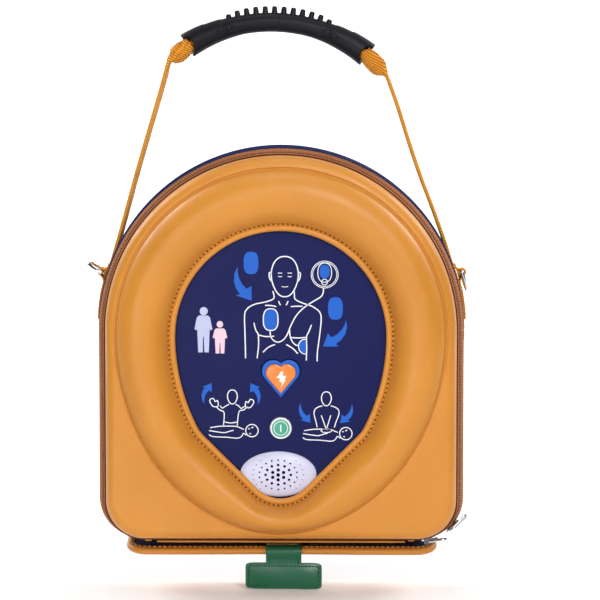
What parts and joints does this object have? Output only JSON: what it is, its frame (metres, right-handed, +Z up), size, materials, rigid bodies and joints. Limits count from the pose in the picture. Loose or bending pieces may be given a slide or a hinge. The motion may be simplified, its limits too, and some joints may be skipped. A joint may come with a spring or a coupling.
{
  "type": "automated external defibrillator in carry case",
  "caption": "Portable automated external defibrillator in an arched moulded carry case with a front window, zipped cover, webbing handle and pull-tab flap.",
  "frame": {"origin": "on the flat back face of the case, at the axis of the arch", "axes": "+Z up along the case, the front faces -Y, +X to the right as seen from the front; the back face looks along +Y"},
  "size_m": [0.2441, 0.072, 0.3681],
  "materials": {
    "cover_leather": "satin",
    "back_leather": "satin",
    "zip_fabric": "matte",
    "zip_coil": "satin",
    "foam": "matte",
    "navy_plastic": "satin",
    "label_film": "satin",
    "seal_rubber": "matte",
    "green_plastic": "satin",
    "orange_plastic": "satin",
    "grey_plastic": "satin",
    "black_plastic": "satin",
    "circuit_board": "satin",
    "steel": "satin",
    "gold_contact": "polished",
    "aluminium": "satin",
    "webbing": "matte",
    "grip_rubber": "matte",
    "chrome": "polished",
    "tab_webbing": "matte",
    "hook_and_loop": "matte",
    "foil": "satin"
  },
  "bodies": {
    "root": {"back_shell": "back_leather", "back_panel": "back_leather", "foam_cradle": "foam", "rear_zip_tape": "zip_fabric", "rear_zip_coil": "zip_coil", "aed_rear_housing": "navy_plastic", "aed_front_housing": "navy_plastic", "housing_gasket": "seal_rubber", "front_label": "label_film", "tact_switches": "black_plastic", "speaker_grille": "grey_plastic", "loudspeaker": "black_plastic", "main_board": "circuit_board", "board_chips": "black_plastic", "hv_capacitor": "aluminium", "hv_transformer": "steel", "discharge_relay": "black_plastic", "contact_block": "black_plastic", "spring_pins": "gold_contact", "bay_plate": "black_plastic", "status_light": "grey_plastic", "bay_rails": "black_plastic", "housing_screws": "steel", "anchor_patch_left": "webbing", "anchor_patch_right": "webbing", "ring_loop_left": "webbing", "ring_loop_right": "webbing", "case_loop_patch": "hook_and_loop", "zip_end_tab_left": "cover_leather", "zip_end_tab_right": "cover_leather", "hinge_gusset": "cover_leather"},
    "cover": {"front_shell": "cover_leather", "window_rim": "cover_leather", "front_binding": "cover_leather", "front_zip_tape": "zip_fabric", "front_zip_coil": "zip_coil"},
    "power_key": {"on_off_button": "green_plastic"},
    "shock_key": {"shock_button": "orange_plastic"},
    "handle": {"strap_left": "webbing", "strap_right": "webbing", "grip": "grip_rubber", "grip_core_webbing": "webbing"},
    "cartridge": {"pak_housing": "grey_plastic", "battery_cells": "aluminium", "electrode_pouch": "foil", "pak_contacts": "gold_contact", "pak_pull": "green_plastic"},
    "flap_hinge": {"flap_hinge_strip": "cover_leather"},
    "flap": {"bottom_flap": "cover_leather", "flap_hook_patch": "hook_and_loop", "pull_tab_root": "tab_webbing"},
    "tab": {"pull_tab_stem": "tab_webbing", "pull_tab_bar": "tab_webbing"},
    "ring_left": {"d_ring_left": "chrome"},
    "ring_right": {"d_ring_right": "chrome"},
    "slider_a": {"zip_slider_a": "chrome"},
    "slider_b": {"zip_slider_b": "chrome"},
    "pull_a": {"zip_pull_a": "chrome"},
    "pull_b": {"zip_pull_b": "chrome"}
  },
  "joints": [
    {"name": "cover_hinge", "type": "hinge", "parent": "root", "child": "cover", "pos_m": [0, -0.048, -0.134], "axis": [1, 0, 0], "range_deg": [0, 95]},
    {"name": "power_press", "type": "slide", "parent": "root", "child": "power_key", "axis": [0, 1, 0], "range_m": [0, 0.001], "stiffness_N_per_m": 400},
    {"name": "shock_press", "type": "slide", "parent": "root", "child": "shock_key", "axis": [0, 1, 0], "range_m": [0, 0.001], "stiffness_N_per_m": 400},
    {"name": "handle_swing", "type": "hinge", "parent": "root", "child": "handle", "pos_m": [0, -0.021, 0.052], "axis": [1, 0, 0], "range_deg": [-22, 22]},
    {"name": "cartridge_slide", "type": "slide", "parent": "root", "child": "cartridge", "axis": [0, 0, -1], "range_m": [0, 0.055]},
    {"name": "flap_swing", "type": "hinge", "parent": "root", "child": "flap_hinge", "pos_m": [0, -0.0032, -0.1352], "axis": [1, 0, 0], "range_deg": [0, 134]},
    {"name": "flap_fold", "type": "hinge", "parent": "flap_hinge", "child": "flap", "pos_m": [0, -0.01105, -0.13673], "axis": [1, 0, 0], "range_deg": [-9, 60]},
    {"name": "tab_swing", "type": "hinge", "parent": "flap", "child": "tab", "pos_m": [0, -0.04336, -0.14504], "axis": [1, 0, 0], "range_deg": [-75, 20]},
    {"name": "ring_left_swing", "type": "hinge", "parent": "root", "child": "ring_left", "pos_m": [-0.11425, -0.021, 0.034], "axis": [0, -1, 0], "range_deg": [-20, 105]},
    {"name": "ring_right_swing", "type": "hinge", "parent": "root", "child": "ring_right", "pos_m": [0.11425, -0.021, 0.034], "axis": [0, -1, 0], "range_deg": [-4, 130]},
    {"name": "slider_a_travel", "type": "hinge", "parent": "root", "child": "slider_a", "pos_m": [0.09, -0.0443, -0.108], "axis": [0, -1, 0], "range_deg": [-4, 43]},
    {"name": "slider_b_travel", "type": "hinge", "parent": "root", "child": "slider_b", "pos_m": [0.09, -0.0443, -0.108], "axis": [0, -1, 0], "range_deg": [0, 6]},
    {"name": "pull_a_swing", "type": "hinge", "parent": "slider_a", "child": "pull_a", "pos_m": [0.10966, -0.04502, -0.12634], "axis": [0.2497, 0.9399, -0.2329], "range_deg": [0, 92]},
    {"name": "pull_b_swing", "type": "hinge", "parent": "slider_b", "child": "pull_b", "pos_m": [0.09384, -0.04451, -0.13534], "axis": [0.0138, 0.995, -0.0985], "range_deg": [0, 92]}
  ],
  "couplings": [
    {"joint": "flap_swing", "follows": "cartridge_slide", "rad_per_m": 42.139}
  ]
}
